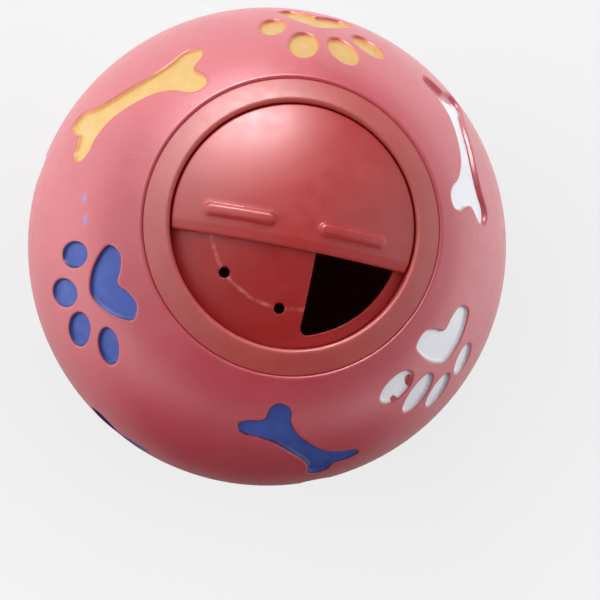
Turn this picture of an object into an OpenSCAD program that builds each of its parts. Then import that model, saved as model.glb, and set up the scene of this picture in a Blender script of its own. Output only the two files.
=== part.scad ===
// Treat dispensing ball for pets: a soft vinyl ball with a hard plastic dial set in its mouth.
// Turning the domed shutter opens the half round window in steps of one eighth of the dial.
// The origin is the centre of the ball, the dial faces +Z and its finger ribs lie along X.

/* [Ball] */
// Outside diameter of the ball
ball_d = 110; // [104:1:130]
// Thickness of the vinyl wall
wall_t = 3; // [2.5:0.25:5]
// Thickness of the vinyl lip that the dial's collar snaps over
lip_t = 3; // [2:0.25:4]
// Rounded off edge of the mouth
mouth_edge = 0.6; // [0.3:0.1:1.2]

/* [Paw and bone recesses] */
// Depth of the recesses below the ball's surface
recess_depth = 1; // [0.6:0.1:2]
// Length of a bone at full size
bone_l = 35.2; // [30:0.2:37]
// Width of a bone across its knuckles
bone_w = 14.6; // [12:0.2:15.6]
// Width of a paw's main pad
pad_w = 16.4; // [14:0.2:17]
// Height of a paw's main pad
pad_h = 11.1; // [9:0.1:12]
// Length of the longest toe
toe_l = 10; // [8:0.2:10.4]
// Width of the widest toe
toe_w = 6.2; // [5:0.1:6.4]
// Thickness of the paint film in the recesses
paint_t = 0.2; // [0.1:0.05:0.4]
// Way over the ball from the edge of the mouth to the middle of the front row of figures
front_row = 19.8; // [18.6:0.1:24]

/* [Bezel ring] */
// Diameter of the round opening that the dial fills
dial_d = 53; // [50:0.2:54]
// Width of the ring seen round the dial
bezel_w = 5.5; // [4:0.1:7]
// Depth of the ring's face below the ball's surface
bezel_drop = 0.5; // [0.2:0.1:1]
// Thickness of the ring at its outer edge
bezel_edge_t = 2.2; // [1.5:0.1:3]
// Wall of the ring's barrel
barrel_t = 2; // [1.6:0.1:2.4]
// Height of the snap hook below the vinyl lip
hook_h = 3; // [2:0.2:4]
// Reach of the snap hook outside the barrel
hook_w = 1.9; // [1:0.1:2.5]
// Width of the ledge that carries the dial plate
ledge_w = 2.1; // [1.5:0.1:2.5]
// Thickness of that ledge
ledge_t = 1.3; // [1:0.1:2]

/* [Dial plate] */
// Thickness of the domed plate
plate_t = 2; // [1.5:0.1:2.5]
// Width of the plate's rim outside the half round window
window_rim = 2.7; // [2.4:0.1:5]
// Distance from the hub to the window's straight edge
window_web = 0.3; // [0.2:0.1:2]
// Corner radius of the window
window_corner = 1.5; // [0.5:0.1:3]
// Distance from the window's rim in to the circle of detent holes
detent_inset = 5.5; // [4:0.1:8]
// Diameter of a detent hole
detent_d = 2.4; // [2:0.1:3]
// Height of the skirt below the rim of the plate
skirt_h = 3; // [2.5:0.1:4]
// Thickness of that skirt
skirt_t = 1.8; // [1.4:0.1:2]
// Height of a snap lug on the skirt
lug_h = 1.2; // [0.8:0.1:1.6]
// Reach of a snap lug outside the skirt
lug_w = 1.1; // [0.6:0.1:1.4]

/* [Shutter] */
// Thickness of the domed shutter
shutter_t = 1.75; // [1.4:0.05:2]
// Lap of the shutter's straight edge over the window's when it is fully open
shutter_lap = 0.2; // [0.1:0.1:2]
// Gap between the shutter and the bezel ring
shutter_gap = 0.4; // [0.2:0.1:0.8]
// Running gap between the shutter and the plate
running_gap = 0.35; // [0.32:0.01:0.6]
// Length of a finger rib
rib_l = 15; // [12:0.5:16]
// Width of a finger rib
rib_w = 2.6; // [2:0.1:3.4]
// Height of a finger rib above the shutter
rib_h = 1.2; // [0.6:0.1:1.5]
// Distance from the pivot to the near end of a rib
rib_x = 4.8; // [3:0.1:6]
// Distance that the ribs sit from the pivot towards the straight edge
rib_y = 0.5; // [0:0.1:1]
// Radius of the click bump under the shutter
bump_r = 1; // [0.7:0.1:1.1]
// Height of the click bump
bump_h = 0.3; // [0.15:0.01:0.3]

/* [Pivot] */
// Diameter of the shutter's stem
stem_d = 6; // [5:0.1:6.2]
// Wall of the plate's hub outside the stop pocket
hub_wall = 0.5; // [0.4:0.1:1.5]
// Length of the hub below the plate
hub_l = 4.8; // [3:0.1:6]
// Length of stem that shows below the hub
stem_tail = 0.9; // [0.8:0.05:1.5]
// Depth of the stop pocket in the hub
stop_depth = 1.6; // [1.2:0.1:2]
// Width of the stop lug across its track
stop_w = 1.1; // [0.7:0.1:1.1]
// Diameter of the screw's shank
screw_d = 2.4; // [2:0.1:2.8]
// Length of the screw below its head
screw_l = 8; // [6:0.2:8.4]
// Diameter of the screw's head
screw_head_d = 5.4; // [5:0.1:6.4]
// Height of the screw's head
screw_head_h = 2; // [1.6:0.1:2.4]
// Reach of the washers outside the stem
washer_w = 1.3; // [0.8:0.1:1.6]
// Thickness of the flat washer
washer_t = 0.6; // [0.4:0.05:1]
// Thickness of the spring washer's strip
spring_t = 0.3; // [0.2:0.05:0.4]

/* [Hidden] */
$fn = 128;

// Colours of the mouldings, the paints and the metal
vinyl = [0.72, 0.16, 0.22];
matte_plastic = [0.66, 0.20, 0.20];
gloss_plastic = [0.70, 0.10, 0.11];
yellow = [0.88, 0.64, 0.18];
white = [0.90, 0.90, 0.92];
blue = [0.12, 0.24, 0.62];
steel = [0.72, 0.73, 0.75];

// Overrun of a cut, and the small clearances that fits share
over = 1;
fit_gap = 0.2;
stem_gap = 0.08;
thread_gap = 0.05;
paint_gap = 0.05;
paint_inset = 0.12;
bezel_gap = 0.2;
plate_gap = 0.1;
rib_drop = 0.4;

// Radii of the nested spheres, all about the ball's centre
ball_r = ball_d / 2;
floor_r = ball_r - recess_depth;
mouth_r = dial_d / 2 + bezel_w + bezel_gap;
dial_r = dial_d / 2;
bezel_r = dial_r + bezel_w;
barrel_r = dial_r + barrel_t;
bezel_dome = ball_r - bezel_drop;
shutter_r = dial_r - shutter_gap;
shutter_dome = ball_r - rib_h - rib_drop;
shutter_under = shutter_dome - shutter_t;
plate_dome = shutter_under - running_gap;
plate_under = plate_dome - plate_t;
plate_r = dial_r - plate_gap;

// Sizes across the dial, from the pivot outwards
stem_r = stem_d / 2;
stop_r = stem_r + stop_w + 2 * fit_gap;
hub_r = stop_r + hub_wall;
washer_r = stem_r + washer_w;
window_x = hub_r + window_web;
window_r = plate_r - window_rim;
detent_r = window_r - detent_inset;
shutter_y = window_x + shutter_lap;

// Heights along the dial's axis
function dome_z(dome, r) = sqrt(dome * dome - r * r);
seat_z = dome_z(bezel_dome, bezel_r) - bezel_edge_t;
lip_z = seat_z - lip_t;
hook_z = lip_z - fit_gap;
barrel_z = hook_z - hook_h;
ledge_z = dome_z(plate_under, plate_r) - skirt_h;
hub_z = plate_under - hub_l;
stem_z = hub_z - stem_tail;
washer_z = stem_z - washer_t;
head_z = washer_z - screw_head_h;
pilot_spare = 0.6;
stop_z = plate_dome - stop_depth;
stop_foot = 0.25;

// Turning range and the places of the stops and lugs, in degrees
closed_angle = -90;
open_angle = 90;
detent_angle = 45;
rest_angle = 180;
stop_angle = 90;
stop_half_angle = 10;
stop_play_angle = 1;
lug_angle = 14;
lug_first_angle = 45;
detent_count = 5;
lug_count = 4;

// Outlines, in shares of each figure's own length and width: a quarter bone and half a pad
bone_shares = [
    [0, 0.37], [0.33, 0.41], [0.59, 0.63], [0.74, 0.92], [0.87, 1.00], [0.985, 0.82],
    [0.975, 0.48], [0.86, 0]
];
pad_shares = [
    [0, 0], [0.39, -0.13], [0.69, -0.34], [0.93, -0.60], [1.0, -0.81], [0.71, -1.0],
    [0.34, -0.92], [0, -0.75]
];

// Toes of each paw: centre in shares of the pad's width, length share, width share, and lean
yellow_toe_shares = [
    [-0.72, 0.15, 0.90, 0.96, 130], [-0.36, 0.55, 1.00, 1.04, 112],
    [0.18, 0.61, 1.03, 1.00, 84], [0.60, 0.16, 0.86, 0.87, 80]
];
white_toe_shares = [
    [0.85, 0, 0.88, 1.00, 42], [0.47, 0.33, 1.03, 0.94, 56],
    [0.06, 0.55, 0.90, 0.92, 64], [-0.42, 0.28, 0.78, 0.92, 75]
];
blue_toe_shares = [
    [-0.73, 0.10, 0.90, 0.90, 138], [-0.38, 0.55, 1.00, 1.00, 112],
    [0.15, 0.60, 1.02, 0.98, 82], [0.57, 0.15, 0.88, 0.87, 80]
];
curve_steps = 2;
toe_sides = 16;

// Places of the figures: share of the way from the front row to the back of the ball,
// bearing round the dial and turn of the figure in degrees, and share of the full size
yellow_bone_shares = [[-0.012, 149.5, -32, 1], [0.352, -58, -32, 1], [0.757, 150, 20, 0.9]];
white_bone_shares = [[-0.009, 37, -31.5, 1], [0.352, 182, -32, 1], [0.757, -90, 35, 0.9]];
blue_bone_shares = [[0.024, -75, -50, 0.87], [0.352, 62, -32, 1]];
yellow_paw_shares = [[0.02, 91, -1, 1], [0.33, 2, 180, 1]];
white_paw_shares = [[-0.008, -27.5, 150.5, 1], [0.33, 122, 180, 1]];
blue_paw_shares = [[-0.019, -151.5, 180, 1], [0.325, -118, 180, 1], [0.773, 30, 0, 1]];

// A point on the smooth curve that passes through b and c
function blend(a, b, c, d, t) =
    0.5 * (2 * b + (c - a) * t + (2 * a - 5 * b + 4 * c - d) * t * t
    + (3 * b - a - 3 * c + d) * t * t * t);

// A closed smooth curve through a list of points
function smooth(p, steps) = let (n = len(p))
    [for (i = [0 : n - 1], k = [0 : steps - 1])
        blend(p[(i + n - 1) % n], p[i], p[(i + 1) % n], p[(i + 2) % n], k / steps)];

// The outline of a bone, mirrored from its quarter and drawn in by the inset
function bone_points(size, inset) = let (
    l = bone_l / 2 * size - inset,
    w = bone_w / 2 * size,
    q = [for (s = bone_shares) [s[0] * l, max(0, s[1] * w - inset)]],
    last = len(q) - 1
) concat(
    [for (i = [0 : last]) q[i]],
    [for (i = [last - 1 : -1 : 0]) [q[i][0], -q[i][1]]],
    [for (i = [1 : last]) [-q[i][0], -q[i][1]]],
    [for (i = [last - 1 : -1 : 1]) [-q[i][0], q[i][1]]]
);

// The outline of a paw's main pad, with its tip towards the toes
function pad_points(size, inset) = let (
    w = pad_w / 2 * size - inset,
    h = pad_h * size - 2 * inset,
    q = [for (s = pad_shares) [s[0] * w, s[1] * h - inset]],
    last = len(q) - 1
) concat([for (i = [0 : last]) q[i]], [for (i = [last - 1 : -1 : 1]) [-q[i][0], q[i][1]]]);

// The outline of one toe, an ellipse
function toe_points(toe, size, inset) = let (
    l = toe_l / 2 * toe[2] * size - inset,
    w = toe_w / 2 * toe[3] * size - inset
) [for (i = [0 : toe_sides - 1]) let (a = 360 * i / toe_sides) [l * cos(a), w * sin(a)]];

// Puts a flat figure on the ball, its upper edge towards the dial
module on_ball(place) {
    front_angle = asin(mouth_r / ball_r) + front_row / ball_r * 180 / PI;
    rotate([0, 0, place[1]])
        rotate([0, front_angle + place[0] * (180 - front_angle), 0])
            rotate([0, 0, place[2] + 90])
                children();
}

// A straight post with a figure's outline, long enough to pass through the ball's wall
module post(points) {
    post_z = ball_r * 0.8;
    translate([0, 0, post_z])
        linear_extrude(ball_r + over - post_z)
            polygon(points);
}

module bone_posts(places, inset) {
    for (place = places)
        on_ball(place)
            post(smooth(bone_points(place[3], inset), curve_steps));
}

module paw_posts(places, toes, inset) {
    for (place = places)
        on_ball(place) {
            post(smooth(pad_points(place[3], inset), curve_steps));
            for (toe = toes)
                translate([toe[0], toe[1], 0] * pad_w * place[3])
                    rotate([0, 0, toe[4]])
                        post(toe_points(toe, place[3], inset));
        }
}

// A film of paint on the recess floors, cut to the posts it is given
module paint_film() {
    difference() {
        intersection() {
            children();
            sphere(floor_r + paint_gap + paint_t);
        }
        sphere(floor_r + paint_gap);
    }
}

module ring(r_in, r_out, z_low, z_high) {
    translate([0, 0, z_low])
        difference() {
            cylinder(r = r_out, h = z_high - z_low);
            translate([0, 0, -over])
                cylinder(r = r_in, h = z_high - z_low + 2 * over);
        }
}

// A stretch of ring between two bearings
module ring_sector(r_in, r_out, z_low, z_high, from, turn) {
    rotate([0, 0, from])
        rotate_extrude(angle = turn)
            translate([r_in, z_low])
                square([r_out - r_in, z_high - z_low]);
}

// Space above a dome, out to a radius
module above_dome(dome, r) {
    difference() {
        cylinder(r = r, h = ball_r + over);
        sphere(dome);
    }
}

module ball_shell() {
    mouth_z = dome_z(ball_r, mouth_r);
    color(vinyl)
        difference() {
            sphere(ball_r);
            intersection() {
                sphere(ball_r - wall_t);
                translate([-ball_r, -ball_r, -ball_r])
                    cube([ball_d, ball_d, ball_r + lip_z]);
            }
            translate([0, 0, lip_z - over])
                cylinder(r = barrel_r + fit_gap, h = ball_r);
            translate([0, 0, seat_z])
                cylinder(r = mouth_r, h = ball_r);
            translate([0, 0, mouth_z - mouth_edge])
                cylinder(r1 = mouth_r, r2 = mouth_r + 2 * mouth_edge, h = 2 * mouth_edge);
            difference() {
                union() {
                    bone_posts(yellow_bone_shares, 0);
                    bone_posts(white_bone_shares, 0);
                    bone_posts(blue_bone_shares, 0);
                    paw_posts(yellow_paw_shares, yellow_toe_shares, 0);
                    paw_posts(white_paw_shares, white_toe_shares, 0);
                    paw_posts(blue_paw_shares, blue_toe_shares, 0);
                }
                sphere(floor_r);
            }
        }
}

module yellow_bone_paint() {
    color(yellow)
        paint_film()
            bone_posts(yellow_bone_shares, paint_inset);
}

module yellow_paw_paint() {
    color(yellow)
        paint_film()
            paw_posts(yellow_paw_shares, yellow_toe_shares, paint_inset);
}

module white_bone_paint() {
    color(white)
        paint_film()
            bone_posts(white_bone_shares, paint_inset);
}

module white_paw_paint() {
    color(white)
        paint_film()
            paw_posts(white_paw_shares, white_toe_shares, paint_inset);
}

module blue_bone_paint() {
    color(blue)
        paint_film()
            bone_posts(blue_bone_shares, paint_inset);
}

module blue_paw_paint() {
    color(blue)
        paint_film()
            paw_posts(blue_paw_shares, blue_toe_shares, paint_inset);
}

// The ring round the dial: a domed flange, a barrel through the mouth and a hook behind the lip
module bezel_ring() {
    pocket_z = ledge_z + (skirt_h - lug_h) / 2;
    color(matte_plastic)
        difference() {
            union() {
                intersection() {
                    ring(dial_r, bezel_r, seat_z, ball_r);
                    sphere(bezel_dome);
                }
                ring(dial_r, barrel_r, barrel_z, seat_z + bezel_edge_t / 2);
                difference() {
                    translate([0, 0, barrel_z])
                        cylinder(r1 = barrel_r, r2 = barrel_r + hook_w, h = hook_h);
                    translate([0, 0, barrel_z - over])
                        cylinder(r = dial_r, h = hook_h + 2 * over);
                }
                ring(dial_r - ledge_w, dial_r + barrel_t / 2, ledge_z - ledge_t, ledge_z);
            }
            for (i = [0 : lug_count - 1])
                ring_sector(
                    dial_r - plate_gap, dial_r + lug_w + fit_gap - plate_gap,
                    pocket_z - fit_gap, pocket_z + lug_h + fit_gap,
                    lug_first_angle + i * 360 / lug_count - lug_angle / 2 - stop_play_angle,
                    lug_angle + 2 * stop_play_angle
                );
        }
}

// Points along an arc
function arc(centre, r, from, to, steps) =
    [for (i = [0 : steps]) let (a = from + (to - from) * i / steps) centre + r * [cos(a), sin(a)]];

// The half round window, with its two corners rounded
module window_outline() {
    rim_steps = 48;
    corner_steps = 6;
    corner_x = window_x + window_corner;
    corner_y = sqrt(pow(window_r - window_corner, 2) - pow(corner_x, 2));
    turn = atan2(corner_y, corner_x);
    polygon(concat(
        arc([0, 0], window_r, -turn, turn, rim_steps),
        arc([corner_x, corner_y], window_corner, turn, 180, corner_steps),
        arc([corner_x, -corner_y], window_corner, 180, 360 - turn, corner_steps)
    ));
}

// The fixed plate under the shutter, with the window, the detent holes and the pivot's hub
module dial_plate() {
    lug_z = ledge_z + (skirt_h - lug_h) / 2;
    color(gloss_plastic)
        difference() {
            union() {
                difference() {
                    intersection() {
                        sphere(plate_dome);
                        translate([0, 0, ledge_z])
                            cylinder(r = plate_r, h = ball_r - ledge_z);
                    }
                    difference() {
                        sphere(plate_under);
                        translate([0, 0, hub_z])
                            cylinder(r = hub_r, h = ball_r);
                    }
                }
                difference() {
                    ring(plate_r - skirt_t, plate_r, ledge_z, dome_z(plate_dome, plate_r));
                    above_dome(plate_dome - plate_t / 2, ball_r);
                }
                for (i = [0 : lug_count - 1])
                    ring_sector(
                        plate_r - skirt_t / 2, plate_r + lug_w, lug_z, lug_z + lug_h,
                        lug_first_angle + i * 360 / lug_count - lug_angle / 2, lug_angle
                    );
            }
            translate([0, 0, ledge_z])
                linear_extrude(ball_r)
                    window_outline();
            for (i = [0 : detent_count - 1])
                rotate([0, 0, rest_angle + closed_angle + i * detent_angle])
                    translate([detent_r, 0, ledge_z])
                        cylinder(d = detent_d, h = ball_r);
            translate([0, 0, hub_z - over])
                cylinder(r = stem_r + stem_gap, h = ball_r);
            ring_sector(
                stem_r, stop_r, stop_z, ball_r,
                stop_angle + closed_angle - stop_half_angle - stop_play_angle,
                open_angle - closed_angle + 2 * (stop_half_angle + stop_play_angle)
            );
        }
}

// A finger rib's outline, a bar with round ends
module rib_outline() {
    translate([rib_x + rib_w / 2, -rib_y - rib_w / 2])
        square([rib_l - rib_w, rib_w]);
    for (end = [rib_x + rib_w / 2, rib_x + rib_l - rib_w / 2])
        translate([end, -rib_y])
            circle(d = rib_w);
}

// The turning half disc, with its ribs, stem, stop lug, click bump and screw hole
module shutter() {
    bump_reach = shutter_under + bump_r - bump_h;
    bump_lean = asin(detent_r / shutter_under);
    color(gloss_plastic)
        difference() {
            union() {
                difference() {
                    intersection() {
                        sphere(shutter_dome);
                        translate([-ball_r, -shutter_y, 0])
                            cube([ball_d, ball_d, ball_r]);
                        cylinder(r = shutter_r, h = ball_r);
                    }
                    sphere(shutter_under);
                }
                intersection() {
                    sphere(shutter_dome + rib_h);
                    for (side = [0, 1])
                        mirror([side, 0, 0])
                            translate([0, 0, shutter_under])
                                linear_extrude(ball_r - shutter_under)
                                    rib_outline();
                }
                translate([0, 0, stem_z])
                    cylinder(r = stem_r, h = shutter_under + shutter_t / 2 - stem_z);
                ring_sector(
                    stem_r - stem_gap, stem_r + stop_w, stop_z + stop_foot,
                    shutter_under + shutter_t / 2,
                    stop_angle - stop_half_angle, 2 * stop_half_angle
                );
                rotate([0, 0, rest_angle])
                    rotate([0, bump_lean, 0])
                        translate([0, 0, bump_reach])
                            sphere(bump_r);
            }
            translate([0, 0, stem_z - over])
                cylinder(d = screw_d + 2 * thread_gap, h = screw_l - washer_t + pilot_spare + over);
        }
}

// The self tapping screw that goes up into the stem
module pivot_screw() {
    slot_w = screw_head_d / 6;
    slot_l = screw_head_d * 0.6;
    slot_depth = screw_head_h / 2;
    head_dome = screw_head_d * 0.62;
    color(steel) {
        translate([0, 0, washer_z])
            cylinder(d = screw_d, h = screw_l);
        difference() {
            intersection() {
                translate([0, 0, head_z])
                    cylinder(d = screw_head_d, h = screw_head_h);
                translate([0, 0, head_z + head_dome])
                    sphere(head_dome);
            }
            for (turn = [0, 90])
                rotate([0, 0, turn])
                    translate([-slot_l / 2, -slot_w / 2, head_z - over])
                        cube([slot_l, slot_w, slot_depth + over]);
        }
    }
}

module pivot_washer() {
    color(steel)
        ring(screw_d / 2 + fit_gap, washer_r, washer_z, stem_z);
}

// A cupped washer that pulls the shutter down on the plate
module spring_washer() {
    r_in = stem_r + fit_gap;
    rise = stem_tail - spring_t - 2 * thread_gap;
    z = stem_z + thread_gap;
    color(steel)
        rotate_extrude()
            polygon([[r_in, z + rise], [washer_r, z], [washer_r, z + spring_t],
                [r_in, z + rise + spring_t]]);
}

ball_shell();
yellow_bone_paint();
yellow_paw_paint();
white_bone_paint();
white_paw_paint();
blue_bone_paint();
blue_paw_paint();
bezel_ring();
dial_plate();
shutter();
pivot_screw();
pivot_washer();
spring_washer();
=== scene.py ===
# %% [markdown]
# # A treat dispensing ball
# A pet toy: a soft vinyl ball with painted paws and bones pressed into it, and a hard round dial
# in its mouth. Turning the dial's shutter opens a half round window, which lets the filling out.
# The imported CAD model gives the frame. Here each piece gets the finish and the fine shapes that
# make it look like the real one. All shapes are worked out in millimetres and made in metres.

# %% Load the frame
import math

import bmesh
import bpy
import numpy as np
from mathutils import Matrix, Vector
from mathutils.geometry import delaunay_2d_cdt


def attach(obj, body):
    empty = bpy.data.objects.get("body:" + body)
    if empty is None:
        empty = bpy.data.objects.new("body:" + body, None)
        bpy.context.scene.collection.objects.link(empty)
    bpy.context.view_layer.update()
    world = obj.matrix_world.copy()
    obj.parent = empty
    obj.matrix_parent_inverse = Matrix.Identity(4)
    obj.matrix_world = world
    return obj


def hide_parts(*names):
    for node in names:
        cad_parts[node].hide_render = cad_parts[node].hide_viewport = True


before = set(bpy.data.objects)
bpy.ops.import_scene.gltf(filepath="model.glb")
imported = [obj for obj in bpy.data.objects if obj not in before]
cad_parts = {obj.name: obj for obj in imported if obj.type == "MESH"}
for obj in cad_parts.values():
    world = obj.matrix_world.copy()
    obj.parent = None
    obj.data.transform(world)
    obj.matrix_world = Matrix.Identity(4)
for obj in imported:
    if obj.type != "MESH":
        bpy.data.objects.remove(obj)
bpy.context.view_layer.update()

MM = 0.001

# %% [markdown]
# ## Sizes
# The sizes repeat the CAD source's, because this script can't read it. Most of the ball is a nest
# of spheres about one centre, so a radius and a distance from the dial's axis place a point.

# %% Sizes of the ball and the ring
BALL_R = 55.0
WALL = 3.0
RECESS_DEPTH = 1.0
LIP_T = 3.0
FIT_GAP = 0.2
DIAL_R = 26.5
BEZEL_W, BEZEL_EDGE_T = 5.5, 2.2
BEZEL_R = DIAL_R + BEZEL_W
BEZEL_DOME = 54.5
MOUTH_R = BEZEL_R + FIT_GAP
BARREL_R = DIAL_R + 2.0
LIP_R = BARREL_R + FIT_GAP
HOOK_W, HOOK_H = 1.9, 3.0
HOOK_R = BARREL_R + HOOK_W
LEDGE_W, LEDGE_T = 2.1, 1.3
LEDGE_R = DIAL_R - LEDGE_W

# %% Sizes of the plate and the shutter
PLATE_R = DIAL_R - 0.1
PLATE_DOME = 51.3
PLATE_UNDER = 49.3
SKIRT_T, SKIRT_H = 1.8, 3.0
SKIRT_R = PLATE_R - SKIRT_T
LUG_W, LUG_H, LUG_ANGLE, LUG_COUNT = 1.1, 1.2, 14, 4
WINDOW_X = 5.3
WINDOW_R = PLATE_R - 2.7
WINDOW_CORNER = 1.5
DETENT_R = WINDOW_R - 5.5
DETENT_HOLE_R = 1.2
DETENT_ANGLES = (90, 135, 180, 225, 270)
SHUTTER_R = DIAL_R - 0.3
SHUTTER_DOME = 53.4
SHUTTER_UNDER = 51.65
SHUTTER_Y = 5.5
RIB_L, RIB_W, RIB_H = 15.0, 2.6, 1.2
RIB_X, RIB_Y = 4.8, 0.5
STEM_R, STEM_TAIL = 3.0, 0.9
STEM_HOLE_R = STEM_R + 0.08
PILOT_R = 1.25
HUB_R, HUB_L = 5.0, 4.8
STOP_R, STOP_W = 4.5, 1.1
STOP_Z = PLATE_DOME - 1.6


def dome_z(dome, radius):
    """Height of a sphere about the ball's centre at a distance from the dial's axis."""
    return np.sqrt(dome ** 2 - np.asarray(radius) ** 2)


SEAT_Z = float(dome_z(BEZEL_DOME, BEZEL_R)) - BEZEL_EDGE_T
LIP_Z = SEAT_Z - LIP_T
HOOK_Z = LIP_Z - FIT_GAP
BARREL_Z = HOOK_Z - HOOK_H
LEDGE_Z = float(dome_z(PLATE_UNDER, PLATE_R)) - SKIRT_H
HUB_Z = PLATE_UNDER - HUB_L
STEM_Z = HUB_Z - STEM_TAIL
print("seat, lip, ledge and hub heights:", [round(z, 2) for z in (SEAT_Z, LIP_Z, LEDGE_Z, HUB_Z)])

# %% [markdown]
# ## Camera
# The photo looks almost straight down the dial's axis, from about six tenths of a metre. The three
# directions below are the photo's right, up and back, read from the dial's outline, which the
# view squeezes to an ellipse, and from the line of the two finger ribs.

# %% Camera at the photo's angle
VIEW_RIGHT = Vector((0.9765, 0.1780, 0.1216))
VIEW_UP = Vector((-0.1905, 0.9766, 0.1000))
VIEW_BACK = Vector((-0.1010, -0.1208, 0.9875))
CAMERA_DISTANCE = 600.0
CAMERA_LENS = 155.8
CAMERA_SENSOR = 36.0
AIM_RIGHT = 7.56
AIM_DOWN = 12.25

camera_place = VIEW_BACK * CAMERA_DISTANCE
camera_aim = VIEW_RIGHT * AIM_RIGHT - VIEW_UP * AIM_DOWN
back_axis = (camera_place - camera_aim).normalized()
right_axis = VIEW_UP.cross(back_axis).normalized()
up_axis = back_axis.cross(right_axis)
camera_turn = Matrix((right_axis, up_axis, back_axis)).transposed().to_4x4()

camera_data = bpy.data.cameras.new("photo_camera")
camera_data.lens = CAMERA_LENS
camera_data.sensor_width = CAMERA_SENSOR
camera = bpy.data.objects.new("photo_camera", camera_data)
camera.matrix_world = Matrix.Translation(camera_place * MM) @ camera_turn
bpy.context.scene.collection.objects.link(camera)
bpy.context.scene.camera = camera
print("camera at", [round(v, 3) for v in camera.location])

# %% [markdown]
# ## Helpers for outlines
# A figure pressed into the ball is a closed outline. A surface needs points on rings along that
# outline, close together where the wall bends and sparse elsewhere. The distance from the outline
# then gives each point its depth, so the wall is rounded the same way all round.

# %% Outline helpers


def smooth_loop(points, steps=6):
    """A closed smooth curve through a list of points."""
    p = np.array(points, float)
    a, b, c, d = (np.roll(p, s, axis=0)[:, None] for s in (1, 0, -1, -2))
    t = (np.arange(steps) / steps)[None, :, None]
    bend = 2 * a - 5 * b + 4 * c - d
    twist = 3 * b - a - 3 * c + d
    curve = 2 * b + (c - a) * t + bend * t ** 2 + twist * t ** 3
    return (curve / 2).reshape(-1, 2)


def even_loop(points, step):
    """The same closed loop with its points a step apart."""
    p = np.vstack([points, points[:1]])
    length = np.concatenate([[0], np.cumsum(np.linalg.norm(np.diff(p, axis=0), axis=1))])
    count = max(6, int(round(length[-1] / step)))
    at = np.arange(count) * length[-1] / count
    return np.column_stack([np.interp(at, length, p[:, 0]), np.interp(at, length, p[:, 1])])


def turned(points, degrees):
    """Flat points turned about the origin, anticlockwise."""
    a = math.radians(degrees)
    c, s = math.cos(a), math.sin(a)
    return np.asarray(points) @ np.array([[c, s], [-s, c]])


def loop_area(loop):
    """Area of a closed loop, negative where it runs clockwise."""
    x, y = loop[:, 0], loop[:, 1]
    return 0.5 * float(np.sum(x * np.roll(y, -1) - y * np.roll(x, -1)))


def offset_loop(loop, distance):
    """The loop moved outwards by a distance along its normals."""
    ahead = np.roll(loop, -1, axis=0) - np.roll(loop, 1, axis=0)
    normal = np.column_stack([ahead[:, 1], -ahead[:, 0]])
    normal /= np.linalg.norm(normal, axis=1)[:, None]
    return loop + normal * distance * math.copysign(1, loop_area(loop))


# Distances are worked out for this many points at a time, to spare memory
BATCH = 4000


def signed_distance(points, loops):
    """Distance of points from closed loops, negative inside the outer one and outside the holes."""
    points = np.asarray(points, float)
    a = np.vstack(loops)
    b = np.vstack([np.roll(loop, -1, axis=0) for loop in loops])
    along = b - a
    square = np.maximum((along ** 2).sum(1), 1e-12)
    result = np.empty(len(points))
    for start in range(0, len(points), BATCH):
        p = points[start:start + BATCH]
        rel = p[:, None] - a[None]
        t = np.clip((rel * along).sum(2) / square, 0, 1)
        gap = np.sqrt(((rel - t[..., None] * along) ** 2).sum(2)).min(1)
        over = (a[None, :, 1] > p[:, None, 1]) != (b[None, :, 1] > p[:, None, 1])
        slope = np.where(np.abs(along[:, 1]) < 1e-12, 1e-12, along[:, 1])
        cross = p[:, None, 0] < rel[..., 1] / slope * along[:, 0] + a[:, 0]
        inside = (over & cross).sum(1) % 2 == 1
        result[start:start + BATCH] = np.where(inside, -gap, gap)
    return result


def rings_about(loops, offsets, step):
    """Points on rings at the given distances from the loops, left out where rings would cross."""
    rings = []
    for i, loop in enumerate(loops):
        for distance in offsets:
            side = 1 if i == 0 else -1
            ring = even_loop(offset_loop(even_loop(loop, step), side * distance), step)
            keep = np.abs(signed_distance(ring, loops) - distance) < 0.25 * step
            rings.append(ring[keep])
    return np.vstack(rings)


# How far apart the rows of a honeycomb are, for points one apart
ROW_SHARE = 0.866


def hex_grid(low, high, step):
    """Points a step apart over a rectangle, in rows that are shifted by half a step."""
    rows = []
    for j, y in enumerate(np.arange(low[1], high[1], step * ROW_SHARE)):
        x = np.arange(low[0], high[0], step) + (j % 2) * step / 2
        rows.append(np.column_stack([x, np.full(len(x), y)]))
    return np.vstack(rows)


def triangles_over(points, loops):
    """Delaunay triangles of flat points. Loops are runs of point numbers whose edges are kept."""
    edges = [(run[i - 1], run[i]) for run in loops for i in range(len(run))]
    found = delaunay_2d_cdt([Vector(p) for p in points.tolist()], edges, [], 0, 1e-7, True)
    number = [(o[0] if o else -1) for o in found[3]]
    faces = np.array([[number[i] for i in face] for face in found[2]])
    return faces[(faces >= 0).all(axis=1)]


def disc_part(radius, edge_y, corner):
    """The part of a disc above a straight edge, with its two corners rounded."""
    cy = edge_y + corner
    cx = math.sqrt((radius - corner) ** 2 - cy ** 2)
    tip = math.degrees(math.atan2(cy, cx))
    arcs = []
    for centre, size, start, end in (((cx, cy), corner, -90, tip), ((0, 0), radius, tip, 180 - tip),
                                     ((-cx, cy), corner, 180 - tip, 270)):
        count = max(6, int(abs(end - start) * size / 20))
        a = np.radians(np.linspace(start, end, count))
        arcs.append(np.column_stack([np.cos(a), np.sin(a)]) * size + centre)
    return np.vstack(arcs)


def circle(radius, centre=(0, 0), step=0.8):
    """A round loop with its points about a step apart."""
    count = max(20, int(2 * math.pi * radius / step))
    a = np.arange(count) * 2 * math.pi / count
    return np.column_stack([np.cos(a), np.sin(a)]) * radius + centre


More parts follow.
